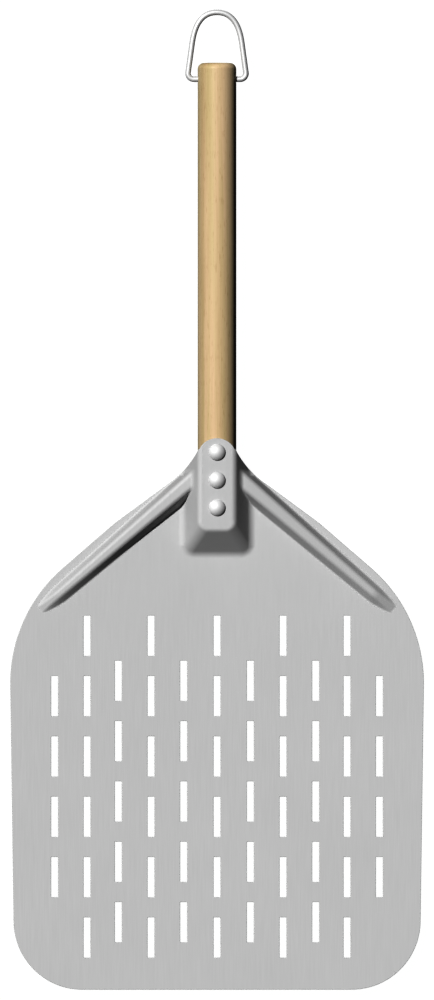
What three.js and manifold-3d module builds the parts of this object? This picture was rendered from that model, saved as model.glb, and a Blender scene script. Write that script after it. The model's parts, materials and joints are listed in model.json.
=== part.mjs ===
// A pizza peel: a pressed and perforated aluminium blade, a round wooden handle held under the
// blade's socket by three rivets with washers, and a wire hanging loop in the handle's far end.
//
// Millimetres. +X runs across the blade, +Y along the handle from the blade's front edge to the
// hanging loop, +Z up on the side where the food lies. The origin is at the middle of the whole
// length and width, at the height of the handle's lowest line.
import * as THREE from 'three';
import { mergeVertices } from 'three/addons/utils/BufferGeometryUtils.js';
import { ConvexGeometry } from 'three/addons/geometries/ConvexGeometry.js';
import Module from 'manifold-3d';

const wasm = await Module();
wasm.setup();

const DEGREE = Math.PI / 180;

// ---- Driving dimensions. Every "reach" is measured from the blade's front edge along +Y. ----

const clearance = 0.3; // between pieces that touch or pass through one another

// Sheet and outline of the blade
const sheet = 1.5;
const cornerRadius = 50.7;
const cornerCentreX = 99.4;
const sideLean = 0.8 * DEGREE; // the blade widens by this angle towards the shoulders
const shoulderReach = 224.5;
const shoulderRadius = 112.2;
const shoulderSlope = 40.9 * DEGREE; // of the straight edge above the shoulder, from the X axis
const shoulderEdgeLength = 48;
const bendRadius = 72.6;
const neckSlope = 36.3 * DEGREE;
const neckStart = new THREE.Vector2(34.4, 374.3);
const neckRadius = 68.6; // hollow curve from the straight edge into the tongue
const tongueReach = 391.9;
const tongueRadius = 14.8;

// Slots: each column's place, the same on both sides, with its first slot and its number of slots
const slotWidth = 5.15;
const slotLength = 29.8;
const slotRowPitch = 44.53;
const slotColumns = [
  { x: 0, firstReach: 38.4, slots: 6 },
  { x: 24.6, firstReach: 49.7, slots: 5 },
  { x: 48.7, firstReach: 38.4, slots: 6 },
  { x: 72.8, firstReach: 49.7, slots: 5 },
  { x: 95.9, firstReach: 38.4, slots: 6 },
  { x: 119.8, firstReach: 82.95, slots: 4 },
];

// Socket: the raised form over the handle's end
const socketHeight = 18.2;
const socketTopHalfWidth = 13.45;
const socketBaseHalfWidth = 24.7;
const socketTopFrontReach = 338.6;
const socketBaseFrontReach = 321.3;
const socketOpenReach = 430; // the form runs on to here and is trimmed by the outline

// Ribs: each runs from a short tip edge near the shoulder into the socket's side wall.
// "along" is measured from the rib's origin towards the socket, "across" towards the front edge.
const ribOrigin = new THREE.Vector2(127.3, 281.2);
const ribSlope = 39.5 * DEGREE;
const ribTip = { along: -3, across: 0.9, backAcross: -3.8 };
const ribSections = [
  { along: 15, height: 4.9, foot: 5.55, crest: 1.0, backCrest: -3.6, backFoot: -7.35 },
  { along: 142, height: 11.0, foot: 5.55, crest: 1.0, backCrest: -8.45, backFoot: -12.1 },
];

// Handle
const handleRadius = 14.15;
const handleInnerReach = 345;
const handleEndReach = 683.4;
const handleEndRounding = 4.5;
const handleInnerChamfer = 1;

// Rivets and washers
const rivetReaches = [396.4, 375.8, 355.5];
const rivetHeadRadius = 6.15;
const rivetHeadHeight = 4;
const rivetHeadRim = 0.5;
const rivetShankRadius = 2.5;
const rivetTailRadius = 4.2;
const rivetTailHeight = 1.8;
const washerRadius = 6.8;
const washerThickness = 1.2;
const counterboreRadius = 7.4;
const counterboreDepth = 4.4; // from the handle's lowest line

// Hanging loop
const wireRadius = 2;
const pivotFromEnd = 11.9;
const loopTopReach = 722.9;
const loopBaseHalfWidth = 21.5; // of the wire's centre line
const loopCornerRadius = 4.3;
const loopLegLean = 7.9 * DEGREE;
const loopLegRise = 26.5; // from the feet to where the crown begins
const loopCrownPull = { leg: 12.6, top: 12 }; // how far the crown follows the leg and the top
const footGap = 8; // between the two feet, inside the handle

// Facets
const arcSegments = 6;
const handleSegments = 48;
const smallRoundSegments = 24; // rivets, washers and their holes
const wireSides = 10;
const wireSteps = 76;

// ---- Derived places ----

const lengthMiddle = loopTopReach / 2;
const bladeTop = 2 * handleRadius + clearance + sheet - socketHeight;
const bladeBottom = bladeTop - sheet;
const socketTop = bladeTop + socketHeight;
const pivotReach = handleEndReach - pivotFromEnd;
const yAt = (reach) => reach - lengthMiddle;

// ---- Helpers ----

/** A three.js geometry as a manifold-3d solid. */
function solidOf(geometry) {
  const bare = geometry.clone();
  for (const name of Object.keys(bare.attributes)) {
    if (name !== 'position') bare.deleteAttribute(name);
  }
  const merged = mergeVertices(bare, 1e-4);
  return new wasm.Manifold(new wasm.Mesh({
    numProp: 3,
    vertProperties: new Float32Array(merged.attributes.position.array),
    triVerts: new Uint32Array(merged.index.array),
  }));
}

/** A manifold-3d solid as a three.js geometry. */
function geometryOf(solid) {
  const mesh = solid.getMesh();
  const geometry = new THREE.BufferGeometry();
  geometry.setAttribute('position', new THREE.BufferAttribute(mesh.vertProperties, mesh.numProp));
  geometry.setIndex(new THREE.BufferAttribute(mesh.triVerts, 1));
  geometry.computeVertexNormals();
  return geometry;
}

/** A shape or list of shapes drawn in the XY plane, made solid between two heights. */
function prism(shapes, bottom, top) {
  const geometry = new THREE.ExtrudeGeometry(shapes, {
    depth: top - bottom,
    bevelEnabled: false,
    curveSegments: arcSegments,
  });
  return geometry.translate(0, 0, bottom);
}

/** A solid of revolution about Z from (radius, height) pairs. */
function turned(profile, segments) {
  const points = profile.map(([radius, height]) => new THREE.Vector2(radius, height));
  return new THREE.LatheGeometry(points, segments).rotateX(Math.PI / 2);
}

/** A quarter round of an outline, as (radius, height) pairs about a centre. */
function quarterRound(centreRadius, centreHeight, radius, fromAngle, toAngle, steps) {
  const pairs = [];
  for (let i = 0; i <= steps; i += 1) {
    const angle = (fromAngle + ((toAngle - fromAngle) * i) / steps) * DEGREE;
    pairs.push([centreRadius + radius * Math.cos(angle), centreHeight + radius * Math.sin(angle)]);
  }
  return pairs;
}

function piece(name, geometry, material) {
  const mesh = new THREE.Mesh(geometry, material);
  mesh.name = name;
  return mesh;
}

// ---- Blade ----

/** One half of the outline, from the front edge's middle to the tongue's tip, as lines and arcs. */
function drawRightSide(shape) {
  const corner = new THREE.Vector2(cornerCentreX, yAt(cornerRadius));
  shape.moveTo(0, yAt(0));
  shape.lineTo(corner.x, yAt(0));
  shape.absarc(corner.x, corner.y, cornerRadius, -Math.PI / 2, -sideLean, false);

  const sideFoot = new THREE.Vector2(
    corner.x + cornerRadius * Math.cos(sideLean),
    corner.y - cornerRadius * Math.sin(sideLean),
  );
  const sideTopY = yAt(shoulderReach);
  const sideTopX = sideFoot.x + (sideTopY - sideFoot.y) * Math.tan(sideLean);
  const shoulderCentreX = sideTopX - shoulderRadius * Math.cos(sideLean);
  const shoulderCentreY = sideTopY + shoulderRadius * Math.sin(sideLean);
  const shoulderEnd = Math.PI / 2 - shoulderSlope;
  shape.absarc(shoulderCentreX, shoulderCentreY, shoulderRadius, -sideLean, shoulderEnd, false);

  const edgeEndX = shoulderCentreX + shoulderRadius * Math.cos(shoulderEnd)
    - shoulderEdgeLength * Math.cos(shoulderSlope);
  const edgeEndY = shoulderCentreY + shoulderRadius * Math.sin(shoulderEnd)
    + shoulderEdgeLength * Math.sin(shoulderSlope);
  const bendCentreX = edgeEndX - bendRadius * Math.cos(shoulderEnd);
  const bendCentreY = edgeEndY - bendRadius * Math.sin(shoulderEnd);
  const bendEnd = Math.PI / 2 - neckSlope;
  shape.absarc(bendCentreX, bendCentreY, bendRadius, shoulderEnd, bendEnd, false);

  const neckCentreX = neckStart.x + neckRadius * Math.sin(neckSlope);
  const neckCentreY = yAt(neckStart.y) + neckRadius * Math.cos(neckSlope);
  const towardsNeck = Math.atan2(neckCentreY - yAt(tongueReach), neckCentreX);
  const neckFrom = -Math.PI / 2 - neckSlope;
  shape.absarc(neckCentreX, neckCentreY, neckRadius, neckFrom, towardsNeck - Math.PI, true);
  shape.absarc(0, yAt(tongueReach), tongueRadius, towardsNeck, Math.PI / 2, false);
}

/** The points of a path, less each one that repeats the one before it. */
function distinctPoints(path) {
  const points = path.getPoints(arcSegments);
  return points.filter((p, i) => i === 0 || p.distanceTo(points[i - 1]) > 1e-6);
}

/** The whole outline: the right side and its mirror image. */
function bladeOutline() {
  const side = new THREE.Path();
  drawRightSide(side);
  const right = distinctPoints(side);
  const left = right.slice(1, -1).reverse().map((p) => new THREE.Vector2(-p.x, p.y));
  return new THREE.Shape([...right, ...left]);
}

function slotShape(x, reach) {
  const halfWidth = slotWidth / 2;
  const near = yAt(reach - slotLength / 2);
  const far = yAt(reach + slotLength / 2);
  return new THREE.Shape([
    new THREE.Vector2(x - halfWidth, near),
    new THREE.Vector2(x + halfWidth, near),
    new THREE.Vector2(x + halfWidth, far),
    new THREE.Vector2(x - halfWidth, far),
  ]);
}

function slotShapes() {
  const shapes = [];
  for (const { x, firstReach, slots } of slotColumns) {
    for (const side of x === 0 ? [1] : [-1, 1]) {
      for (let row = 0; row < slots; row += 1) {
        shapes.push(slotShape(side * x, firstReach + row * slotRowPitch));
      }
    }
  }
  return shapes;
}

/** How far a wall moves inwards, level by level, when the sheet's far side is drawn instead. */
function wallShift(rise, run) {
  return sheet * Math.tan(Math.atan2(rise, run) / 2);
}

/** The socket's outer form, or with inside true the hollow under it. */
function socketForm(inside) {
  const sideShift = inside ? wallShift(socketHeight, socketBaseHalfWidth - socketTopHalfWidth) : 0;
  const frontRun = socketTopFrontReach - socketBaseFrontReach;
  const frontShift = inside ? wallShift(socketHeight, frontRun) : 0;
  const top = inside ? socketTop - sheet : socketTop;
  const base = inside ? bladeBottom : bladeTop;
  const below = inside ? bladeBottom - sheet : bladeTop - sheet / 2;
  const points = [];
  for (const side of [-1, 1]) {
    const topX = side * (socketTopHalfWidth - sideShift);
    const baseX = side * (socketBaseHalfWidth - sideShift);
    for (const z of [base, below]) {
      points.push(new THREE.Vector3(baseX, yAt(socketBaseFrontReach + frontShift), z));
      points.push(new THREE.Vector3(baseX, yAt(socketOpenReach), z));
    }
    points.push(new THREE.Vector3(topX, yAt(socketTopFrontReach + frontShift), top));
    points.push(new THREE.Vector3(topX, yAt(socketOpenReach), top));
  }
  return solidOf(new ConvexGeometry(points));
}

/** A point of a rib from its own along and across measures; side is 1 or -1. */
function ribPoint(side, along, across, z) {
  const x = ribOrigin.x - along * Math.cos(ribSlope) - across * Math.sin(ribSlope);
  const reach = ribOrigin.y + along * Math.sin(ribSlope) - across * Math.cos(ribSlope);
  return new THREE.Vector3(side * x, yAt(reach), z);
}

/** A rib's outer form, or with inside true the hollow under it. */
function ribForm(side, inside) {
  const base = inside ? bladeBottom : bladeTop;
  const below = inside ? bladeBottom - sheet : bladeTop - sheet / 2;
  const points = [];
  for (const across of [ribTip.across, ribTip.backAcross]) {
    points.push(ribPoint(side, ribTip.along, across, base));
    points.push(ribPoint(side, ribTip.along, across, below));
  }
  for (const { along, height, foot, crest, backCrest, backFoot } of ribSections) {
    const shift = inside ? wallShift(height, foot - crest) : 0;
    const backShift = inside ? wallShift(height, backCrest - backFoot) : 0;
    points.push(ribPoint(side, along, crest - shift, base + height));
    points.push(ribPoint(side, along, backCrest + backShift, base + height));
    for (const z of [base, below]) {
      points.push(ribPoint(side, along, foot - shift, z));
      points.push(ribPoint(side, along, backFoot + backShift, z));
    }
  }
  return solidOf(new ConvexGeometry(points));
}

/** A round cutter along Z, or along X when lying. */
function cutter(radius, length, lying) {
  const geometry = new THREE.CylinderGeometry(radius, radius, length, smallRoundSegments);
  return lying ? geometry.rotateZ(Math.PI / 2) : geometry.rotateX(Math.PI / 2);
}

/** The hole that a rivet's shank passes through, in the blade and the handle alike. */
function rivetHole(reach) {
  const hole = cutter(rivetShankRadius + clearance, 3 * socketTop, false);
  return solidOf(hole.translate(0, yAt(reach), 0));
}

function makeBlade() {
  const outline = bladeOutline();
  const trim = solidOf(prism(outline, bladeBottom - sheet, socketTop + sheet));
  const slots = solidOf(prism(slotShapes(), bladeBottom - sheet, bladeTop + sheet));
  let blade = solidOf(prism(outline, bladeBottom, bladeTop)).subtract(slots);
  blade = blade.add(socketForm(false).intersect(trim));
  for (const side of [-1, 1]) blade = blade.add(ribForm(side, false).intersect(trim));
  blade = blade.subtract(socketForm(true));
  for (const side of [-1, 1]) blade = blade.subtract(ribForm(side, true));
  for (const reach of rivetReaches) blade = blade.subtract(rivetHole(reach));
  return geometryOf(blade);
}

// ---- Handle ----

function makeHandle() {
  const length = handleEndReach - handleInnerReach;
  const profile = [
    [0, 0],
    [handleRadius - handleInnerChamfer, 0],
    [handleRadius, handleInnerChamfer],
    ...quarterRound(
      handleRadius - handleEndRounding, length - handleEndRounding, handleEndRounding, 0, 90, 5,
    ),
    [0, length],
  ];
  const dowel = turned(profile, handleSegments).rotateX(-Math.PI / 2);
  dowel.translate(0, yAt(handleInnerReach), handleRadius);
  let handle = solidOf(dowel);

  const crossHole = cutter(wireRadius + clearance, 4 * handleRadius, true);
  crossHole.translate(0, yAt(pivotReach), handleRadius);
  handle = handle.subtract(solidOf(crossHole));

  for (const reach of rivetReaches) {
    const counterbore = cutter(counterboreRadius, 2 * counterboreDepth, false);
    counterbore.translate(0, yAt(reach), 0);
    handle = handle.subtract(rivetHole(reach)).subtract(solidOf(counterbore));
  }
  return geometryOf(handle);
}

// ---- Rivets and washers ----

const washerTop = counterboreDepth - clearance;
const tailTop = washerTop - washerThickness - clearance;

function makeRivet(reach) {
  const headBase = socketTop + clearance;
  const rise = rivetHeadHeight - rivetHeadRim;
  const domeRadius = (rivetHeadRadius ** 2 + rise ** 2) / (2 * rise);
  const rimAngle = Math.acos(rivetHeadRadius / domeRadius) / DEGREE;
  const dome = quarterRound(0, headBase + rivetHeadHeight - domeRadius, domeRadius, rimAngle, 90, 6);
  dome[dome.length - 1][0] = 0;
  const tailBottom = tailTop - rivetTailHeight;
  const geometry = turned([
    [0, tailBottom],
    [rivetTailRadius * 0.7, tailBottom],
    [rivetTailRadius, tailBottom + rivetTailHeight / 2],
    [rivetTailRadius, tailTop],
    [rivetShankRadius, tailTop],
    [rivetShankRadius, headBase],
    [rivetHeadRadius, headBase],
    ...dome,
  ], smallRoundSegments);
  return geometry.translate(0, yAt(reach), 0);
}

function makeWasher(reach) {
  const hole = rivetShankRadius + clearance;
  const bottom = washerTop - washerThickness;
  const geometry = turned([
    [hole, bottom],
    [washerRadius, bottom],
    [washerRadius, washerTop],
    [hole, washerTop],
    [hole, bottom],
  ], smallRoundSegments);
  return geometry.translate(0, yAt(reach), 0);
}

// ---- Hanging loop ----

/** The wire's centre line in the XY plane, from one foot's end round to the other's. */
function loopCentreLine() {
  const feet = yAt(pivotReach);
  const legAngle = Math.PI / 2 + loopLegLean; // direction of the right-hand leg, going up
  const cornerX = loopBaseHalfWidth - loopCornerRadius;
  const cornerY = feet + loopCornerRadius;
  const legStart = new THREE.Vector2(
    cornerX + loopCornerRadius * Math.cos(loopLegLean),
    cornerY + loopCornerRadius * Math.sin(loopLegLean),
  );
  const legEnd = new THREE.Vector2(0, feet + loopLegRise);
  legEnd.x = legStart.x - (legEnd.y - legStart.y) * Math.tan(loopLegLean);
  const top = yAt(loopTopReach) - wireRadius;

  const side = new THREE.Path();
  side.moveTo(footGap / 2, feet);
  side.lineTo(cornerX, feet);
  side.absarc(cornerX, cornerY, loopCornerRadius, -Math.PI / 2, loopLegLean, false);
  side.lineTo(legEnd.x, legEnd.y);
  side.bezierCurveTo(
    legEnd.x + loopCrownPull.leg * Math.cos(legAngle),
    legEnd.y + loopCrownPull.leg * Math.sin(legAngle),
    loopCrownPull.top, top, 0, top,
  );
  const right = side.getSpacedPoints(wireSteps / 2);
  const left = right.slice(0, -1).reverse().map((p) => new THREE.Vector2(-p.x, p.y));
  return [...right, ...left].map((p) => new THREE.Vector3(p.x, p.y, handleRadius));
}

function makeLoop() {
  const section = new THREE.Shape();
  section.absarc(0, 0, wireRadius, 0, 2 * Math.PI, false);
  return new THREE.ExtrudeGeometry(section, {
    extrudePath: new THREE.CatmullRomCurve3(loopCentreLine()),
    steps: wireSteps,
    curveSegments: wireSides / 2,
  });
}

// ---- Assembly ----

const aluminium = new THREE.MeshStandardMaterial({ color: 0xbcbcbc, roughness: 0.45, metalness: 1 });
const rivetAluminium = new THREE.MeshStandardMaterial({ color: 0xe0e0e0, roughness: 0.35, metalness: 1 });
const wood = new THREE.MeshStandardMaterial({ color: 0xd8b583, roughness: 0.6, metalness: 0 });
const steelWire = new THREE.MeshStandardMaterial({ color: 0xdcdcdc, roughness: 0.25, metalness: 1 });

const peel = new THREE.Group();
peel.name = 'pizza_peel';
peel.add(piece('blade', makeBlade(), aluminium));
peel.add(piece('handle', makeHandle(), wood));
peel.add(piece('hanging_loop', makeLoop(), steelWire));
rivetReaches.forEach((reach, index) => {
  peel.add(piece(`rivet_${index + 1}`, makeRivet(reach), rivetAluminium));
  peel.add(piece(`rivet_washer_${index + 1}`, makeWasher(reach), rivetAluminium));
});

export default peel;
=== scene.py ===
"""The pizza peel's looks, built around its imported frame.

Blender works in metres here, in the frame's axes: +X across the blade, +Y along the handle to the
hanging loop, +Z up on the side where the food lies. The sheet's forms are worked out in
millimetres, with "reach" counted along +Y from the blade's front edge and height from its top.
"""

import json
import math

import bpy
import numpy as np
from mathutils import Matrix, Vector
from mathutils.geometry import delaunay_2d_cdt


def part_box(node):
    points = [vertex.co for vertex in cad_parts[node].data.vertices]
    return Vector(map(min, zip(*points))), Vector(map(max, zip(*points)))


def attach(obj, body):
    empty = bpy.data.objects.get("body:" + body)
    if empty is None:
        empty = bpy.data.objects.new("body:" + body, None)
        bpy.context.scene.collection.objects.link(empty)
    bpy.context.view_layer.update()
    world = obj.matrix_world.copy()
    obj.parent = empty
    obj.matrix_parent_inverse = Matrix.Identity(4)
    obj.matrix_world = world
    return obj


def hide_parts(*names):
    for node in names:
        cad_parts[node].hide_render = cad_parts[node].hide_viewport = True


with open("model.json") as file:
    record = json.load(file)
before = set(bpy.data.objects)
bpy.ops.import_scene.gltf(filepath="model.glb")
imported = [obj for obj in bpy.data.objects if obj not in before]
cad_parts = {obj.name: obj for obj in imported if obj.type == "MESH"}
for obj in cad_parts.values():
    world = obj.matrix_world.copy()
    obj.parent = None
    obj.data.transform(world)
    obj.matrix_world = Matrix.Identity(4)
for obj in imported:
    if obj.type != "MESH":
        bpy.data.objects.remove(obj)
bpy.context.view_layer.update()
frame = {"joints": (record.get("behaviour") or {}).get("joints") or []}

MM = 0.001

# ---- Places and sizes from the frame ----

BLADE_LOW, BLADE_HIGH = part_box("blade")
HANDLE_LOW, HANDLE_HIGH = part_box("handle")
LOOP_LOW, LOOP_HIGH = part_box("hanging_loop")
PIVOT = Vector(frame["joints"][0]["pos_m"])
RIVETS = ("rivet_1", "rivet_2", "rivet_3")
WASHERS = ("rivet_washer_1", "rivet_washer_2", "rivet_washer_3")

HANDLE_RADIUS = (HANDLE_HIGH.x - HANDLE_LOW.x) / 2
HANDLE_AXIS_Z = (HANDLE_HIGH.z + HANDLE_LOW.z) / 2
BLADE_HALF_WIDTH = (BLADE_HIGH.x - BLADE_LOW.x) / 2 / MM

# ---- The sheet, in millimetres ----

SHEET = 1.5
EDGE_ROUND = 0.3  # of the cut edges

CORNER_RADIUS = 50.7
SIDE_LEAN = math.radians(0.8)
SHOULDER_REACH = 224.5
SHOULDER_RADIUS = 112.2
SHOULDER_SLOPE = math.radians(40.9)
SHOULDER_EDGE_LENGTH = 48.0
BEND_RADIUS = 72.6
NECK_SLOPE = math.radians(36.3)
NECK_START = (34.4, 374.3)
NECK_RADIUS = 68.6
TONGUE_REACH = 391.9
TONGUE_RADIUS = 14.8

SLOT_WIDTH = 5.15
SLOT_LENGTH = 29.8
SLOT_CORNER = 0.6
SLOT_ROW_PITCH = 44.53
SLOT_COLUMNS = (  # place on both sides, reach of the first slot, number of slots
    (0, 38.4, 6),
    (24.6, 49.7, 5),
    (48.7, 38.4, 6),
    (72.8, 49.7, 5),
    (95.9, 38.4, 6),
    (119.8, 82.95, 4),
)
RIVET_HOLE_RADIUS = 2.7

SOCKET_HEIGHT = (BLADE_HIGH.z - BLADE_LOW.z) / MM - SHEET
SOCKET_TOP_HALF = 13.45
SOCKET_BASE_HALF = 24.7
SOCKET_TOP_FRONT = 338.6
SOCKET_BASE_FRONT = 321.3
SOCKET_CREST_ROUND = 4.8
SOCKET_FOOT_ROUND = 6.9
SOCKET_FRONT_CREST_ROUND = 4.0
SOCKET_FRONT_FOOT_ROUND = 7.0
SOCKET_BASE_CORNER = 6.6  # of the level lines' round corners, at the foot
SOCKET_TOP_CORNER = 7.5

RIB_ORIGIN = (127.3, 281.2)
RIB_SLOPE = math.radians(39.5)
RIB_TIP = -3.0
RIB_FACET_END = 15.0  # the sloping tip facet ends this far along the rib
RIB_FACET_HEIGHT = 4.9
RIB_RISE = 0.048  # of the top beyond the facet
RIB_CREST = 1.0
RIB_WALL_RUN = 4.55
RIB_BACK_CREST = -3.6
RIB_BACK_CREST_DRIFT = -0.0382
RIB_BACK_RUN = 3.7
RIB_CREST_ROUND = 3.6
RIB_FOOT_ROUND = 1.5
RIB_FACET_BLEND = 0.7  # where the tip facet meets the top
RIB_SOCKET_BLEND = 3.0

# The mesh's point spacings, in millimetres
FLAT_STEP = 12
SOCKET_STEP = (0.8, 1.0)  # across and along
RIB_STEP = (1.4, 0.65)  # along and across
EDGE_STEP = 2.5
FINE_EDGE_STEP = 0.8

# ---- The other pieces, in metres ----

HANDLE_END_ROUND = 4.5 * MM
HANDLE_INNER_ROUND = 1 * MM
CROSS_HOLE_RADIUS = 2.3 * MM
CROSS_HOLE_FLARE = 0.6 * MM
COUNTERBORE_RADIUS = 7.4 * MM
COUNTERBORE_DEPTH = 4.4 * MM
COUNTERBORE_FLARE = 0.5 * MM
SHANK_HOLE_RADIUS = 2.8 * MM
SHANK_RADIUS = 2.5 * MM
RIVET_HEAD_HEIGHT = 4 * MM
RIVET_RIM = 0.45 * MM
RIVET_TAIL_RADIUS = 4.2 * MM
RIVET_TAIL_HEIGHT = 1.8 * MM
WASHER_EDGE_ROUND = 0.25 * MM

# ---- Light and camera ----

KEY_DIRECTION = (-0.465, 0.43, 1)
KEY_STRENGTH = 6.35
KEY_ANGLE = 3  # degrees; a small one, for the crisp shading
LENS = 600
SENSOR = 36
FRAME_HEIGHT = 0.7378  # metres that the image takes in from bottom to top
FRAME_MIDDLE_Y = -0.0003
VIEW_GAMMA = 0.56  # below 1 for a strong contrast


def mesh_piece(name, vertices, faces, normals=None):
    """A new object from vertices in metres, smooth shaded, with its own normals where given."""
    mesh = bpy.data.meshes.new(name)
    mesh.from_pydata([tuple(v) for v in vertices], [], [tuple(f) for f in faces])
    mesh.update()
    mesh.shade_smooth()
    if normals is not None:
        mesh.normals_split_custom_set_from_vertices([tuple(n) for n in normals])
    piece = bpy.data.objects.new(name, mesh)
    bpy.context.scene.collection.objects.link(piece)
    return piece


# ---- The sheet's form ----


def smooth_min(a, b, width):
    """The lesser of a and b, rounded where they are within width of each other."""
    near = np.maximum(width - np.abs(a - b), 0)
    return np.minimum(a, b) - near * near / (4 * width)


def wall_height(inward, rise, slope, crest_round, foot_round):
    """Height of a wall that climbs at a slope from its foot line to a level top, with a round foot
    and a round crest. inward is the distance past the foot line."""
    turn = np.arctan(slope)
    half_turn = np.tan(turn / 2)
    room = 0.48 * rise / np.sin(turn) / half_turn  # the largest rounds that the wall has room for
    crest = np.minimum(crest_round, room)
    foot = np.minimum(foot_round, room)
    crest_reach = crest * half_turn
    foot_reach = foot * half_turn
    top = rise / slope
    height = np.clip(inward * slope, 0, rise)
    past_foot = inward + foot_reach
    foot_arc = foot - np.sqrt(np.maximum(foot**2 - past_foot**2, 0))
    on_foot = (past_foot > 0) & (inward < foot_reach * np.cos(turn))
    height = np.where(on_foot, foot_arc, height)
    before_top = top + crest_reach - inward
    crest_arc = rise - crest + np.sqrt(np.maximum(crest**2 - before_top**2, 0))
    on_crest = (before_top > 0) & (inward > top - crest_reach * np.cos(turn))
    return np.where(on_crest, crest_arc, height)


def inside_corner_line(out, ahead, radius):
    """How far inside a line with a round corner a point lies, from its place past the corner arc's
    centre, and how much the line turns there from the side (0) to the front (1)."""
    past = (out > 0) & (ahead > 0)
    inside = np.where(past, radius - np.hypot(out, ahead), radius - np.maximum(out, ahead))
    turned = np.where(past, ahead / np.maximum(np.hypot(out, ahead), 1e-9), ahead > out)
    return inside, turned


def socket_height(x, reach):
    """Height of the raised form over the handle's end. Its level lines have round corners, and
    shrink from the foot (level 0) to the crest (level 1)."""
    side_run = SOCKET_BASE_HALF - SOCKET_TOP_HALF
    front_run = SOCKET_TOP_FRONT - SOCKET_BASE_FRONT
    tighter = SOCKET_BASE_CORNER - SOCKET_TOP_CORNER
    # The point's place past the centre of the foot line's corner arc, and that centre's own move
    # from the foot to the crest.
    out = np.abs(x) - (SOCKET_BASE_HALF - SOCKET_BASE_CORNER)
    ahead = SOCKET_BASE_FRONT + SOCKET_BASE_CORNER - reach
    move_out = tighter - side_run
    move_ahead = tighter - front_run
    a = move_out**2 + move_ahead**2 - tighter**2
    b = out * move_out + ahead * move_ahead - SOCKET_BASE_CORNER * tighter
    c = out**2 + ahead**2 - SOCKET_BASE_CORNER**2
    level = (b + np.sqrt(np.maximum(b * b - a * c, 0))) / a
    out_there = out - level * move_out
    ahead_there = ahead - level * move_ahead
    past = (out_there > 0) & (ahead_there > 0)
    side_level = (SOCKET_BASE_HALF - np.abs(x)) / side_run
    front_level = (reach - SOCKET_BASE_FRONT) / front_run
    level = np.where(past, level, np.minimum(side_level, front_level))
    length = np.maximum(np.hypot(out_there, ahead_there), 1e-9)
    turned = np.where(past, ahead_there / length, front_level < side_level)

    outside, turned_outside = inside_corner_line(out, ahead, SOCKET_BASE_CORNER)
    within, turned_within = inside_corner_line(
        out - move_out, ahead - move_ahead, SOCKET_TOP_CORNER
    )
    turned = np.where(level < 0, turned_outside, np.where(level > 1, turned_within, turned))
    run = tighter - np.sqrt(1 - turned**2) * move_out - turned * move_ahead
    inward = np.where(level < 0, outside, np.where(level > 1, run + within, level * run))
    crest = SOCKET_CREST_ROUND + (SOCKET_FRONT_CREST_ROUND - SOCKET_CREST_ROUND) * turned**2
    foot = SOCKET_FOOT_ROUND + (SOCKET_FRONT_FOOT_ROUND - SOCKET_FOOT_ROUND) * turned**2
    return wall_height(inward, SOCKET_HEIGHT, SOCKET_HEIGHT / run, crest, foot)


def rib_frame(x, reach):
    """Distances along a rib from its origin, and across it towards the front edge."""
    out = np.abs(x) - RIB_ORIGIN[0]
    up = reach - RIB_ORIGIN[1]
    along = up * math.sin(RIB_SLOPE) - out * math.cos(RIB_SLOPE)
    across = -out * math.sin(RIB_SLOPE) - up * math.cos(RIB_SLOPE)
    return along, across


def rib_height(x, reach):
    """Height of the two stiffening ribs, which mirror each other."""
    along, across = rib_frame(x, reach)
    past_facet = along - RIB_FACET_END
    top = RIB_FACET_HEIGHT + past_facet * RIB_RISE
    facet = (along - RIB_TIP) * RIB_FACET_HEIGHT / (RIB_FACET_END - RIB_TIP)
    rise = np.maximum(smooth_min(facet, top, RIB_FACET_BLEND), 1e-6)
    full = np.maximum(top, RIB_FACET_HEIGHT)
    beyond = np.maximum(past_facet, 0)
    share = np.sqrt(rise / full)
    run = RIB_WALL_RUN * share
    back_run = RIB_BACK_RUN * share
    slope = rise / run
    back_slope = rise / back_run
    foot = RIB_CREST + run
    back_foot = RIB_BACK_CREST + beyond * RIB_BACK_CREST_DRIFT - back_run
    near = wall_height(foot - across, rise, slope, RIB_CREST_ROUND, RIB_FOOT_ROUND)
    back = wall_height(across - back_foot, rise, back_slope, RIB_CREST_ROUND, RIB_FOOT_ROUND)
    return np.minimum(near, back)


def sheet_height(x, reach):
    """Height of the sheet's top above the flat blade's, in millimetres."""
    socket = socket_height(x, reach)
    rib = rib_height(x, reach)
    lower = np.minimum(socket, rib)
    near = np.maximum(RIB_SOCKET_BLEND - np.abs(socket - rib), 0) / RIB_SOCKET_BLEND
    fillet = near * near * RIB_SOCKET_BLEND / 4 * np.clip(lower / RIB_SOCKET_BLEND, 0, 1)
    return np.maximum(socket, rib) + fillet


def sheet_normals(points):
    """The sheet's upward normals at (x, reach) points."""
    step = 0.02
    x, reach = points[:, 0], points[:, 1]
    rise_x = (sheet_height(x + step, reach) - sheet_height(x - step, reach)) / (2 * step)
    rise_y = (sheet_height(x, reach + step) - sheet_height(x, reach - step)) / (2 * step)
    normals = np.stack([-rise_x, -rise_y, np.ones_like(rise_x)], axis=1)
    return normals / np.linalg.norm(normals, axis=1, keepdims=True)


# ---- The sheet's outline and holes ----


def arc(centre, radius, start, end, spacing):
    """Points of an arc from one angle to the other, about spacing apart, both ends included."""
    count = max(2, math.ceil(abs(end - start) * radius / spacing))
    angles = np.linspace(start, end, count + 1)
    return np.stack(
        [centre[0] + radius * np.cos(angles), centre[1] + radius * np.sin(angles)], axis=1
    )


def line(start, end, spacing):
    count = max(1, math.ceil(math.dist(start, end) / spacing))
    t = np.linspace(0, 1, count + 1)[:, None]
    return np.array(start) * (1 - t) + np.array(end) * t


def joined(stretches):
    """Stretches of points joined into one, less the points that repeat."""
    points = np.concatenate(stretches)
    apart = np.linalg.norm(np.diff(points, axis=0), axis=1) > 1e-6
    return points[np.concatenate([[True], apart])]


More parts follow.
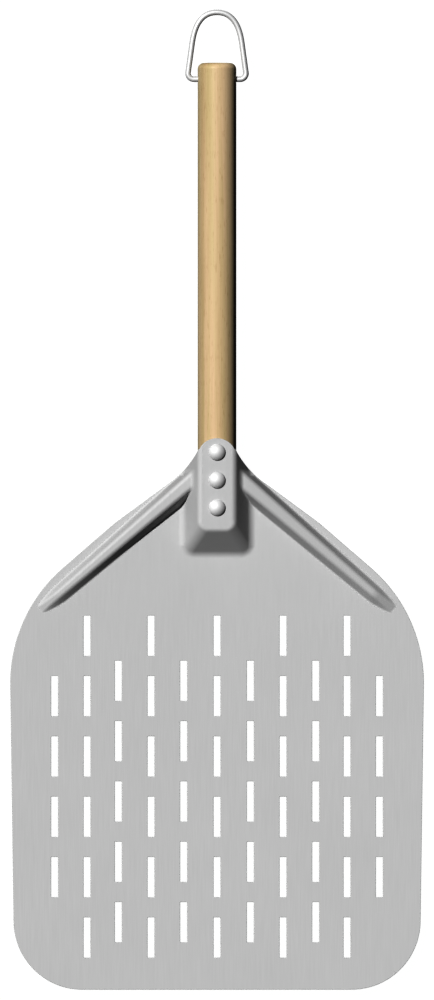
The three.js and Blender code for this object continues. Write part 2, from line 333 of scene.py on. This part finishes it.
def blade_outline():
    """The outline as (x, reach) points, counter-clockwise from the front edge's middle."""
    plain, fine = EDGE_STEP, FINE_EDGE_STEP
    side_foot_x = BLADE_HALF_WIDTH - (SHOULDER_REACH - CORNER_RADIUS) * math.tan(SIDE_LEAN)
    corner = (side_foot_x - CORNER_RADIUS, CORNER_RADIUS)
    corner_arc = arc(corner, CORNER_RADIUS, -math.pi / 2, -SIDE_LEAN, plain)
    shoulder = (
        BLADE_HALF_WIDTH - SHOULDER_RADIUS,
        SHOULDER_REACH + SHOULDER_RADIUS * math.sin(SIDE_LEAN),
    )
    shoulder_end = math.pi / 2 - SHOULDER_SLOPE
    shoulder_arc = arc(shoulder, SHOULDER_RADIUS, -SIDE_LEAN, shoulder_end, plain)
    edge_end = shoulder_arc[-1] + SHOULDER_EDGE_LENGTH * np.array(
        [-math.cos(SHOULDER_SLOPE), math.sin(SHOULDER_SLOPE)]
    )
    towards = np.array([math.cos(shoulder_end), math.sin(shoulder_end)])
    bend_arc = arc(
        edge_end - BEND_RADIUS * towards,
        BEND_RADIUS,
        shoulder_end,
        math.pi / 2 - NECK_SLOPE,
        plain,
    )
    neck = (
        NECK_START[0] + NECK_RADIUS * math.sin(NECK_SLOPE),
        NECK_START[1] + NECK_RADIUS * math.cos(NECK_SLOPE),
    )
    towards_neck = math.atan2(neck[1] - TONGUE_REACH, neck[0])
    neck_arc = arc(
        neck, NECK_RADIUS, -math.pi / 2 - NECK_SLOPE, towards_neck - math.pi, fine
    )
    tongue_arc = arc((0, TONGUE_REACH), TONGUE_RADIUS, towards_neck, math.pi / 2, fine)
    right = joined(
        [
            line((0, 0), corner_arc[0], 6 * plain),
            corner_arc,
            line(corner_arc[-1], shoulder_arc[0], 4 * plain),
            shoulder_arc,
            line(shoulder_arc[-1], bend_arc[0], plain),
            bend_arc,
            line(bend_arc[-1], neck_arc[0], plain),
            neck_arc,
            tongue_arc,
        ]
    )
    left = right[1:-1][::-1] * [-1, 1]
    return np.concatenate([right, left])


def slot_outline(x, reach):
    """A slot with slightly round corners, as (x, reach) points, clockwise."""
    half_width = SLOT_WIDTH / 2 - SLOT_CORNER
    half_length = SLOT_LENGTH / 2 - SLOT_CORNER
    corners = []
    for quarter, (side, end) in enumerate(((1, 1), (1, -1), (-1, -1), (-1, 1))):
        centre = (x + side * half_width, reach + end * half_length)
        start = math.pi / 2 - quarter * math.pi / 2
        corners.append(arc(centre, SLOT_CORNER, start, start - math.pi / 2, 0.35))
    return np.concatenate(corners)


def slot_outlines():
    outlines = []
    for x, first_reach, count in SLOT_COLUMNS:
        for side in (-1, 1) if x else (1,):
            for row in range(count):
                outlines.append(slot_outline(side * x, first_reach + row * SLOT_ROW_PITCH))
    return outlines


def rivet_centre(node):
    low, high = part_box(node)
    return (low + high) / 2


def rivet_hole_outlines():
    outlines = []
    for node in RIVETS:
        reach = (rivet_centre(node).y - BLADE_LOW.y) / MM
        outlines.append(arc((0, reach), RIVET_HOLE_RADIUS, 2 * math.pi, 0, 0.6)[:-1])
    return outlines


def edge_directions(loop):
    """The direction in the plane that points away from the metal, at each point of a loop that
    runs counter-clockwise round metal or clockwise round a hole."""
    ahead = np.roll(loop, -1, axis=0) - loop
    ahead /= np.linalg.norm(ahead, axis=1, keepdims=True)
    tangent = ahead + np.roll(ahead, 1, axis=0)
    tangent /= np.linalg.norm(tangent, axis=1, keepdims=True)
    return np.stack([tangent[:, 1], -tangent[:, 0]], axis=1)


# ---- The sheet's mesh ----


def spaced(start, end, step):
    return np.linspace(start, end, max(2, round((end - start) / step) + 1))


def grid_points(firsts, seconds):
    a, b = np.meshgrid(firsts, seconds, indexing="ij")
    return np.stack([a.ravel(), b.ravel()], axis=1)


def form_points():
    """Points inside the outline that carry the sheet's form: a coarse grid on the flat blade, fine
    grids along the socket's walls and along each rib."""
    flat = grid_points(spaced(-150, 150, FLAT_STEP), spaced(6, 354, FLAT_STEP))
    socket = grid_points(spaced(-32, 32, SOCKET_STEP[0]), spaced(314, 406, SOCKET_STEP[1]))
    rib_along, rib_across = grid_points(
        spaced(-6, 139, RIB_STEP[0]), spaced(-15, 8.4, RIB_STEP[1])
    ).T
    rib = np.stack(
        [
            RIB_ORIGIN[0] - rib_along * math.cos(RIB_SLOPE) - rib_across * math.sin(RIB_SLOPE),
            RIB_ORIGIN[1] + rib_along * math.sin(RIB_SLOPE) - rib_across * math.cos(RIB_SLOPE),
        ],
        axis=1,
    )
    return flat, socket, rib


def inside_loop(points, loop):
    """Which points lie inside a closed loop."""
    inside = np.zeros(len(points), bool)
    for (x0, y0), (x1, y1) in zip(loop, np.roll(loop, -1, axis=0)):
        if y0 == y1:
            continue
        crosses = (points[:, 1] < y0) != (points[:, 1] < y1)
        at = x0 + (points[:, 1] - y0) * (x1 - x0) / (y1 - y0)
        inside ^= crosses & (points[:, 0] < at)
    return inside


def clear_of_loop(points, loop, distance):
    """Which points are further than distance from every segment of a closed loop."""
    clear = np.ones(len(points), bool)
    for start, end in zip(loop, np.roll(loop, -1, axis=0)):
        along = end - start
        t = np.clip((points - start) @ along / (along @ along), 0, 1)
        clear &= np.linalg.norm(points - start - t[:, None] * along, axis=1) > distance
    return clear


def near_box(points, loop, margin):
    low = loop.min(axis=0) - margin
    high = loop.max(axis=0) + margin
    return ((points > low) & (points < high)).all(axis=1)


def interior_points(outline, holes):
    flat, socket, rib = form_points()
    in_socket = near_box(flat, socket, 6)
    along, across = rib_frame(flat[:, 0], flat[:, 1])
    in_rib = (along > -12) & (across > -22) & (across < 15)
    flat = flat[~in_socket & ~in_rib]
    socket_edge = np.abs(socket[:, 0]) > SOCKET_BASE_HALF
    along, across = rib_frame(socket[:, 0], socket[:, 1])
    socket = socket[~(socket_edge & (across > -16) & (across < 9))]
    rib = rib[rib[:, 0] > SOCKET_BASE_HALF - 7.5]
    points = np.concatenate([flat, socket, rib, rib * [-1, 1]])
    points = points[inside_loop(points, outline)]
    points = points[clear_of_loop(points, outline, 0.45)]
    for hole in holes:
        near = near_box(points, hole, 1)
        drop = np.zeros(len(points), bool)
        drop[near] = inside_loop(points[near], hole) | ~clear_of_loop(points[near], hole, 0.5)
        points = points[~drop]
    return points


def blade_sheet():
    """The pressed and slotted sheet, with both faces, rounded cut edges and exact normals."""
    loops = [blade_outline(), *slot_outlines(), *rivet_hole_outlines()]
    outward = [edge_directions(loop) for loop in loops]
    insets = [loop - EDGE_ROUND * away for loop, away in zip(loops, outward)]
    points = np.concatenate([*insets, interior_points(insets[0], insets[1:])])
    constraints = []
    start = 0
    for loop in insets:
        count = len(loop)
        constraints += [(start + i, start + (i + 1) % count) for i in range(count)]
        start += count
    solved = delaunay_2d_cdt([Vector(p) for p in points], constraints, [], 0, 1e-5)
    points = np.array([tuple(p) for p in solved[0]])
    faces = np.array([tuple(f) for f in solved[2]])
    middles = points[faces].mean(axis=1)
    keep = inside_loop(middles, insets[0])
    for hole in insets[1:]:
        near = near_box(middles, hole, 0)
        keep[near] &= ~inside_loop(middles[near], hole)
    faces = faces[keep]

    normals = sheet_normals(points)
    heights = sheet_height(points[:, 0], points[:, 1])
    top = np.column_stack([points, heights])
    vertices = [top, top - SHEET * normals]
    vertex_normals = [normals, -normals]
    count = len(points)
    all_faces = [list(f) for f in faces] + [[a + count, c + count, b + count] for a, b, c in faces]
    total = 2 * count

    # Each cut edge: a quarter round, the straight cut and another quarter round.
    start = 0
    for away in outward:
        ring = np.arange(start, start + len(away))
        start += len(away)
        up = normals[ring]
        out = np.column_stack([away, np.zeros(len(away))])
        out -= (out * up).sum(axis=1, keepdims=True) * up
        out /= np.linalg.norm(out, axis=1, keepdims=True)
        rings = [ring]
        slant = math.sqrt(0.5)
        depths = (
            (slant, (1 - slant), (slant, slant)),
            (1, 1, (1, 0)),
            (1, SHEET / EDGE_ROUND - 1, (1, 0)),
            (slant, SHEET / EDGE_ROUND - 1 + slant, (slant, -slant)),
        )
        for push, depth, (out_share, up_share) in depths:
            vertices.append(top[ring] + EDGE_ROUND * (push * out - depth * up))
            vertex_normals.append(out_share * out + up_share * up)
            rings.append(np.arange(total, total + len(ring)))
            total += len(ring)
        rings.append(ring + count)
        for upper, lower in zip(rings, rings[1:]):
            for i in range(len(upper)):
                j = (i + 1) % len(upper)
                all_faces.append([upper[i], lower[i], lower[j], upper[j]])

    vertices = np.concatenate(vertices)
    vertices = vertices * MM + [0, BLADE_LOW.y, BLADE_LOW.z + SHEET * MM]
    sheet = mesh_piece("blade_sheet", vertices, all_faces, np.concatenate(vertex_normals))
    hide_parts("blade")
    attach(sheet, "peel")
    return sheet


# ---- Turned pieces ----


def turned_mesh(profile, segments, closed=False):
    """Vertices and faces of a profile of (radius, height) pairs turned about Z. An open profile
    starts and ends on the axis, a closed one joins its last pair to its first."""
    vertices = []
    rings = []
    for radius, height in profile:
        first = len(vertices)
        if radius == 0:
            vertices.append((0, 0, height))
            rings.append([first] * segments)
            continue
        for i in range(segments):
            angle = 2 * math.pi * i / segments
            vertices.append((radius * math.cos(angle), radius * math.sin(angle), height))
        rings.append(list(range(first, first + segments)))
    pairs = list(zip(rings, rings[1:]))
    if closed:
        pairs.append((rings[-1], rings[0]))
    faces = []
    for lower, upper in pairs:
        for i in range(segments):
            j = (i + 1) % segments
            corners = [lower[i], lower[j], upper[j], upper[i]]
            face = [c for k, c in enumerate(corners) if c != corners[k - 1]]
            if len(face) > 2:
                faces.append(face)
    return vertices, faces


def round_corner(centre, radius, start, end, steps):
    """A round stretch of a profile, as (radius, height) pairs; angles in degrees."""
    pairs = []
    for i in range(steps + 1):
        angle = math.radians(start + (end - start) * i / steps)
        pairs.append((centre[0] + radius * math.cos(angle), centre[1] + radius * math.sin(angle)))
    return pairs


def sharpen(piece, degrees):
    """Smooth shading, with edges sharper than the angle kept crisp."""
    piece.data.shade_smooth()
    piece.data.set_sharp_from_angle(angle=math.radians(degrees))


def rivet(node):
    """A dome-headed rivet with a rounded rim, its shank and its flattened tail."""
    low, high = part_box(node)
    centre = (low + high) / 2
    head_radius = (high.x - low.x) / 2
    seat = BLADE_HIGH.z
    dome_rise = RIVET_HEAD_HEIGHT - RIVET_RIM
    dome_radius = (head_radius**2 + dome_rise**2) / (2 * dome_rise)
    rim_angle = math.degrees(math.acos((head_radius - RIVET_RIM * 0.3) / dome_radius))
    dome = round_corner((0, high.z - dome_radius), dome_radius, rim_angle, 90, 20)
    dome[-1] = (0, high.z)
    half_tail = RIVET_TAIL_HEIGHT / 2
    tail_centre = (RIVET_TAIL_RADIUS - half_tail, low.z + half_tail)
    tail_round = round_corner(tail_centre, half_tail, -90, 90, 10)
    half_rim = RIVET_RIM / 2
    rim_round = round_corner((head_radius - half_rim, seat + half_rim), half_rim, -90, 60, 6)
    profile = [
        (0, low.z),
        *tail_round,
        (SHANK_RADIUS, low.z + RIVET_TAIL_HEIGHT),
        (SHANK_RADIUS, seat),
        *rim_round,
        *dome,
    ]
    vertices, faces = turned_mesh(profile, 72)
    vertices = [(x + centre.x, y + centre.y, z) for x, y, z in vertices]
    piece = mesh_piece(node + "_dome", vertices, faces)
    sharpen(piece, 50)
    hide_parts(node)
    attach(piece, "peel")
    return piece


def washer(node):
    """A flat washer with rounded edges."""
    low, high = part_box(node)
    centre = (low + high) / 2
    outer = (high.x - low.x) / 2
    inner = SHANK_HOLE_RADIUS
    edge = WASHER_EDGE_ROUND
    profile = [
        *round_corner((inner + edge, low.z + edge), edge, 180, 270, 4),
        *round_corner((outer - edge, low.z + edge), edge, 270, 360, 4),
        *round_corner((outer - edge, high.z - edge), edge, 0, 90, 4),
        *round_corner((inner + edge, high.z - edge), edge, 90, 180, 4),
    ]
    vertices, faces = turned_mesh(profile, 64, closed=True)
    vertices = [(x + centre.x, y + centre.y, z) for x, y, z in vertices]
    piece = mesh_piece(node + "_ring", vertices, faces)
    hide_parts(node)
    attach(piece, "peel")
    return piece


# ---- Handle ----


def cut_with(piece, cutters):
    """Cuts a piece with other objects, which are then removed."""
    for cutter in cutters:
        cut = piece.modifiers.new("cut", "BOOLEAN")
        cut.operation = "DIFFERENCE"
        cut.solver = "EXACT"
        cut.object = cutter
    bpy.context.view_layer.update()
    evaluated = piece.evaluated_get(bpy.context.evaluated_depsgraph_get())
    mesh = bpy.data.meshes.new_from_object(evaluated)
    piece.modifiers.clear()
    piece.data = mesh
    for cutter in cutters:
        bpy.data.objects.remove(cutter)


def handle():
    """The round dowel, with its far end rounded, its cross-hole, rivet holes and counterbores."""
    length = HANDLE_HIGH.y - HANDLE_LOW.y
    radius = HANDLE_RADIUS
    end_round = HANDLE_END_ROUND
    inner_round = HANDLE_INNER_ROUND
    profile = [
        (0, 0),
        *round_corner((radius - inner_round, inner_round), inner_round, -90, 0, 6),
        *round_corner((radius - end_round, length - end_round), end_round, 0, 90, 14),
        (0, length),
    ]
    vertices, faces = turned_mesh(profile, 128)
    place = [(x, HANDLE_LOW.y + z, HANDLE_AXIS_Z + y) for x, y, z in vertices]
    faces = [f[::-1] for f in faces]
    piece = mesh_piece("handle_dowel", place, faces)

    cutters = []
    hole_radius = CROSS_HOLE_RADIUS
    flare = CROSS_HOLE_FLARE
    past = 2 * MM  # how far the cutters reach past the dowel
    half = radius + past
    cross = [
        (0, -half),
        (hole_radius + flare + half - radius, -half),
        (hole_radius, -radius + flare),
        (hole_radius, radius - flare),
        (hole_radius + flare + half - radius, half),
        (0, half),
    ]
    vertices, faces = turned_mesh(cross, 48)
    place = [(z, PIVOT.y + x, PIVOT.z + y) for x, y, z in vertices]
    cutters.append(mesh_piece("cross_hole_cutter", place, faces))
    for node in RIVETS:
        centre = rivet_centre(node)
        steps = [
            (0, -past),
            (COUNTERBORE_RADIUS + COUNTERBORE_FLARE, -past),
            (COUNTERBORE_RADIUS, COUNTERBORE_DEPTH - past),
            (COUNTERBORE_RADIUS, COUNTERBORE_DEPTH),
            (SHANK_HOLE_RADIUS, COUNTERBORE_DEPTH),
            (SHANK_HOLE_RADIUS, 2 * radius + past),
            (0, 2 * radius + past),
        ]
        vertices, faces = turned_mesh(steps, 64)
        place = [(x + centre.x, y + centre.y, z) for x, y, z in vertices]
        cutters.append(mesh_piece("rivet_hole_cutter", place, faces))
    cut_with(piece, cutters)
    sharpen(piece, 35)
    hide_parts("handle")
    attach(piece, "peel")
    return piece


# ---- Hanging loop ----


def bezier(p0, p1, p2, p3, count):
    t = np.linspace(0, 1, count + 1)[:, None]
    p0, p1, p2, p3 = (np.array(p, float) for p in (p0, p1, p2, p3))
    return (
        p0 * (1 - t) ** 3
        + 3 * p1 * t * (1 - t) ** 2
        + 3 * p2 * t**2 * (1 - t)
        + p3 * t**3
    )


def loop_centre_line(wire_radius):
    """The wire's centre line in millimetres, x and distance from the pivot, foot to foot."""
    base_half = (LOOP_HIGH.x - LOOP_LOW.x) / 2 / MM - wire_radius
    top = (LOOP_HIGH.y - PIVOT.y) / MM - wire_radius
    corner_radius = 4.3
    lean = math.radians(7.9)
    leg_rise = 26.5
    foot_end = 4.0
    leg_pull, top_pull = 12.6, 12.0
    corner = (base_half - corner_radius, corner_radius)
    corner_arc = arc(corner, corner_radius, -math.pi / 2, lean, 0.5)
    leg_start = corner_arc[-1]
    leg_end = (leg_start[0] - (leg_rise - leg_start[1]) * math.tan(lean), leg_rise)
    crown = bezier(
        leg_end,
        (leg_end[0] - leg_pull * math.sin(lean), leg_rise + leg_pull * math.cos(lean)),
        (top_pull, top),
        (0, top),
        48,
    )
    right = joined(
        [line((foot_end, 0), corner_arc[0], 1.5), corner_arc, line(leg_start, leg_end, 1.5), crown]
    )
    left = right[:-1][::-1] * [-1, 1]
    return np.concatenate([right, left])


def hanging_loop():
    """The bent wire, a round section swept along its centre line, with slightly rounded ends."""
    wire_radius = (LOOP_HIGH.z - LOOP_LOW.z) / 2 / MM
    path = loop_centre_line(wire_radius)
    sides = 32
    tangent = np.gradient(path, axis=0)
    tangent /= np.linalg.norm(tangent, axis=1, keepdims=True)
    across = np.stack([tangent[:, 1], -tangent[:, 0]], axis=1)
    end = 0.5
    vertices = []
    normals = []
    stations = [(path[0], across[0], wire_radius - end)]
    stations += [(path[0] + tangent[0] * end, across[0], wire_radius)]
    inner = [i for i in range(len(path)) if min(i, len(path) - 1 - i) >= 1]
    stations += [(path[i], across[i], wire_radius) for i in inner]
    stations += [(path[-1] - tangent[-1] * end, across[-1], wire_radius)]
    stations += [(path[-1], across[-1], wire_radius - end)]
    for centre, side, radius in stations:
        for k in range(sides):
            angle = 2 * math.pi * k / sides
            c, s = math.cos(angle), math.sin(angle)
            vertices.append(
                (
                    (centre[0] + radius * c * side[0]) * MM + PIVOT.x,
                    (centre[1] + radius * c * side[1]) * MM + PIVOT.y,
                    radius * s * MM + PIVOT.z,
                )
            )
            normals.append((c * side[0], c * side[1], s))
    faces = []
    for station in range(len(stations) - 1):
        for k in range(sides):
            a = station * sides + k
            b = station * sides + (k + 1) % sides
            faces.append([a, a + sides, b + sides, b])
    last = (len(stations) - 1) * sides
    faces.append(list(range(sides)))
    faces.append([last + k for k in reversed(range(sides))])
    piece = mesh_piece("hanging_loop_wire", vertices, faces)
    sharpen(piece, 50)
    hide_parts("hanging_loop")
    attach(piece, "loop")
    return piece


# ---- Materials ----


class Nodes:
    """A material's node tree, with short ways to build it up."""

    def __init__(self, name):
        self.material = bpy.data.materials.new(name)
        self.material.use_nodes = True
        self.tree = self.material.node_tree
        self.shader = self.tree.nodes["Principled BSDF"]

    def link(self, output, target):
        self.tree.links.new(output, target)

    def position(self, scale, rotation=(0, 0, 0)):
        """Object coordinates, scaled and turned."""
        coordinates = self.tree.nodes.new("ShaderNodeTexCoord")
        mapping = self.tree.nodes.new("ShaderNodeMapping")
        mapping.inputs["Scale"].default_value = scale
        mapping.inputs["Rotation"].default_value = rotation
        self.link(coordinates.outputs["Object"], mapping.inputs["Vector"])
        return mapping.outputs["Vector"]

    def noise(self, vector, scale, detail=3.0, roughness=0.5):
        noise = self.tree.nodes.new("ShaderNodeTexNoise")
        noise.inputs["Scale"].default_value = scale
        noise.inputs["Detail"].default_value = detail
        noise.inputs["Roughness"].default_value = roughness
        self.link(vector, noise.inputs["Vector"])
        return noise.outputs["Fac"]

    def ramp(self, value, stops):
        """A colour for each value: stops are (position, colour)."""
        ramp = self.tree.nodes.new("ShaderNodeValToRGB")
        elements = ramp.color_ramp.elements
        while len(elements) < len(stops):
            elements.new(0.5)
        for element, (position, colour) in zip(elements, stops):
            element.position = position
            element.color = (*colour, 1)
        self.link(value, ramp.inputs["Fac"])
        return ramp.outputs["Color"]

    def span(self, value, low, high, from_low=0.0, from_high=1.0):
        """A value mapped from one range to another."""
        span = self.tree.nodes.new("ShaderNodeMapRange")
        span.inputs["From Min"].default_value = from_low
        span.inputs["From Max"].default_value = from_high
        span.inputs["To Min"].default_value = low
        span.inputs["To Max"].default_value = high
        self.link(value, span.inputs["Value"])
        return span.outputs["Result"]

    def mix(self, kind, factor, first, second):
        """Two colours mixed; factor, first and second are each a socket or a constant."""
        mix = self.tree.nodes.new("ShaderNodeMix")
        mix.data_type = "RGBA"
        mix.blend_type = kind
        for index, value in ((0, factor), (6, first), (7, second)):
            if isinstance(value, bpy.types.NodeSocket):
                self.link(value, mix.inputs[index])
            else:
                mix.inputs[index].default_value = value
        return mix.outputs[2]

    def bump(self, height, strength, distance):
        bump = self.tree.nodes.new("ShaderNodeBump")
        bump.inputs["Strength"].default_value = strength
        bump.inputs["Distance"].default_value = distance
        self.link(height, bump.inputs["Height"])
        self.link(bump.outputs["Normal"], self.shader.inputs["Normal"])


def aluminium_material(name, colour, roughness, metallic, grain_stretch, grain_scale):
    """Aluminium with a fine rolled grain along one axis and slight variation in tone."""
    nodes = Nodes(name)
    grain = nodes.noise(nodes.position(grain_stretch), grain_scale, 4, 0.6)
    cloud = nodes.noise(nodes.position((1, 1, 1)), 14, 3, 0.55)
    dark = tuple(c * 0.99 for c in colour)
    light = tuple(c * 1.01 for c in colour)
    toned = nodes.ramp(cloud, [(0.3, dark), (0.7, light)])
    grained = nodes.ramp(grain, [(0.25, (0.98, 0.98, 0.98)), (0.75, (1, 1, 1))])
    nodes.link(nodes.mix("MULTIPLY", 1.0, toned, grained), nodes.shader.inputs["Base Color"])
    nodes.link(
        nodes.span(grain, roughness - 0.05, roughness + 0.05, 0.3, 0.7),
        nodes.shader.inputs["Roughness"],
    )
    nodes.shader.inputs["Metallic"].default_value = metallic
    nodes.bump(grain, 0.05, 0.0001)
    return nodes.material


def wood_material():
    """Light straight-grained wood: growth rings about a pith beside the dowel, fine fibres and
    short pores, all drawn out along the handle, and painted shade: darker and warmer towards the
    dowel's
    -X side, where the key light falls, to shape how its round side is lit."""
    nodes = Nodes("light_wood")
    wander = nodes.noise(nodes.position((40, 3, 40)), 1.0, 3, 0.5)
    rings = nodes.tree.nodes.new("ShaderNodeTexWave")
    rings.wave_type = "RINGS"
    rings.rings_direction = "Y"
    rings.inputs["Scale"].default_value = 32
    rings.inputs["Distortion"].default_value = 2.2
    rings.inputs["Detail"].default_value = 2
    rings.inputs["Detail Scale"].default_value = 1.2
    shifted = nodes.tree.nodes.new("ShaderNodeVectorMath")
    shifted.operation = "ADD"
    shifted.inputs[1].default_value = (0.021, 0, 0.030)
    nodes.link(nodes.position((1, 0.06, 1)), shifted.inputs[0])
    nodes.link(shifted.outputs["Vector"], rings.inputs["Vector"])
    fibres = nodes.noise(nodes.position((1100, 22, 1100)), 1.0, 4, 0.6)
    streaks = nodes.noise(nodes.position((260, 5, 260)), 1.0, 3, 0.5)
    pores = nodes.noise(nodes.position((2300, 120, 2300)), 1.0, 2, 0.5)

    early = (0.577, 0.475, 0.345)
    late = (0.535, 0.425, 0.30)
    base = nodes.ramp(rings.outputs["Fac"], [(0.25, early), (0.9, late)])
    # Painted shade: a colour ramp across X makes the dowel darker and warmer towards -X, the side
    # the key light falls on, to shape its shading.
    across = nodes.tree.nodes.new("ShaderNodeSeparateXYZ")
    nodes.link(nodes.position((1, 1, 1)), across.inputs["Vector"])
    side = nodes.span(across.outputs["X"], 0, 1, -0.012, 0.012)
    painted_shade_stripe = [
        (0, (0.83, 0.85, 0.84)),
        (0.25, (0.80, 0.79, 0.73)),
        (0.5, (0.94, 0.93, 0.92)),
        (0.7, (1.0, 1.03, 1.0)),
    ]
    base = nodes.mix("MULTIPLY", 1.0, base, nodes.ramp(side, painted_shade_stripe))
    rosy = nodes.ramp(streaks, [(0.35, (0.90, 0.93, 0.86)), (0.65, (1, 0.98, 1))])
    base = nodes.mix("MULTIPLY", 1.0, base, rosy)
    fine = nodes.ramp(fibres, [(0.3, (0.90, 0.88, 0.85)), (0.7, (1, 1, 1))])
    base = nodes.mix("MULTIPLY", 0.8, base, fine)
    broad = nodes.ramp(wander, [(0.3, (0.95, 0.94, 0.92)), (0.7, (1, 1, 1))])
    base = nodes.mix("MULTIPLY", 1.0, base, broad)
    pored = nodes.ramp(pores, [(0.30, (0.72, 0.64, 0.54)), (0.37, (1, 1, 1))])
    base = nodes.mix("MULTIPLY", 0.7, base, pored)
    nodes.link(base, nodes.shader.inputs["Base Color"])
    nodes.link(nodes.span(fibres, 0.5, 0.62, 0.3, 0.7), nodes.shader.inputs["Roughness"])
    nodes.shader.inputs["Specular IOR Level"].default_value = 0.35
    nodes.bump(fibres, 0.12, 0.0002)
    return nodes.material


def paint(pieces, material):
    for piece in pieces:
        piece.data.materials.clear()
        piece.data.materials.append(material)


# ---- Camera, light and floor ----


def straight_down_camera():
    """A long lens straight above the peel, framed on its whole length."""
    camera = bpy.data.cameras.new("camera")
    camera.lens = LENS
    camera.sensor_width = SENSOR
    distance = FRAME_HEIGHT / 2 / (SENSOR / 2 / LENS)
    camera.clip_end = 100
    rig = bpy.data.objects.new("camera", camera)
    rig.location = (0, FRAME_MIDDLE_Y, BLADE_LOW.z + distance)
    bpy.context.scene.collection.objects.link(rig)
    bpy.context.scene.camera = rig


def sun(name, direction_to_light, strength, angle):
    lamp = bpy.data.lights.new(name, "SUN")
    lamp.energy = strength
    lamp.angle = math.radians(angle)
    rig = bpy.data.objects.new(name, lamp)
    rig.rotation_euler = Vector(direction_to_light).to_track_quat("Z", "Y").to_euler()
    bpy.context.scene.collection.objects.link(rig)


def level_by_ray(nodes, links, camera, glossy, other):
    """A strength that differs for what the camera sees, for reflections and for other light."""
    ray = nodes.new("ShaderNodeLightPath")
    first = nodes.new("ShaderNodeMix")
    first.inputs["A"].default_value = other
    first.inputs["B"].default_value = glossy
    links.new(ray.outputs["Is Glossy Ray"], first.inputs["Factor"])
    second = nodes.new("ShaderNodeMix")
    second.inputs["B"].default_value = camera
    links.new(ray.outputs["Is Camera Ray"], second.inputs["Factor"])
    links.new(first.outputs["Result"], second.inputs["A"])
    return second.outputs["Result"]


def studio_world():
    """A white surround for the eye, with a weak fill for the shaded sides."""
    world = bpy.data.worlds.new("studio")
    world.use_nodes = True
    bpy.context.scene.world = world
    nodes = world.node_tree.nodes
    links = world.node_tree.links
    background = nodes["Background"]
    background.inputs["Color"].default_value = (1, 1, 1, 1)
    links.new(level_by_ray(nodes, links, 1.0, 0.02, 0.006), background.inputs["Strength"])


def floor():
    """A plain white floor that glows, so that shadows on it stay very faint."""
    half = 8
    corners = [(-half, -half, 0), (half, -half, 0), (half, half, 0), (-half, half, 0)]
    piece = mesh_piece("floor", corners, [[0, 1, 2, 3]])
    nodes = Nodes("floor_white")
    nodes.shader.inputs["Base Color"].default_value = (0.03, 0.03, 0.03, 1)
    nodes.shader.inputs["Roughness"].default_value = 0.9
    nodes.shader.inputs["Specular IOR Level"].default_value = 0
    nodes.shader.inputs["Emission Color"].default_value = (1, 1, 1, 1)
    tree = nodes.tree
    nodes.link(
        level_by_ray(tree.nodes, tree.links, 1.0, 0.06, 0.03),
        nodes.shader.inputs["Emission Strength"],
    )
    paint([piece], nodes.material)


# ---- Assembly ----

straight_down_camera()
sun("key", KEY_DIRECTION, KEY_STRENGTH, KEY_ANGLE)
studio_world()
floor()

sheet_piece = blade_sheet()
handle_piece = handle()
loop_piece = hanging_loop()
rivet_pieces = [rivet(node) for node in RIVETS]
washer_pieces = [washer(node) for node in WASHERS]

paint(
    [sheet_piece],
    aluminium_material("blade_aluminium", (0.408, 0.408, 0.408), 0.75, 0.25, (60, 2, 60), 18),
)
paint(
    rivet_pieces,
    aluminium_material("rivet_aluminium", (0.53, 0.53, 0.53), 0.65, 0.12, (1, 1, 1), 600),
)
paint(
    washer_pieces,
    aluminium_material("washer_steel", (0.55, 0.55, 0.56), 0.35, 0.9, (1, 1, 1), 500),
)
paint(
    [loop_piece],
    aluminium_material("loop_steel", (0.50, 0.50, 0.50), 0.5, 0.2, (1, 1, 1), 400),
)
paint([handle_piece], wood_material())

bpy.context.scene.view_settings.view_transform = "Standard"
bpy.context.scene.view_settings.gamma = VIEW_GAMMA
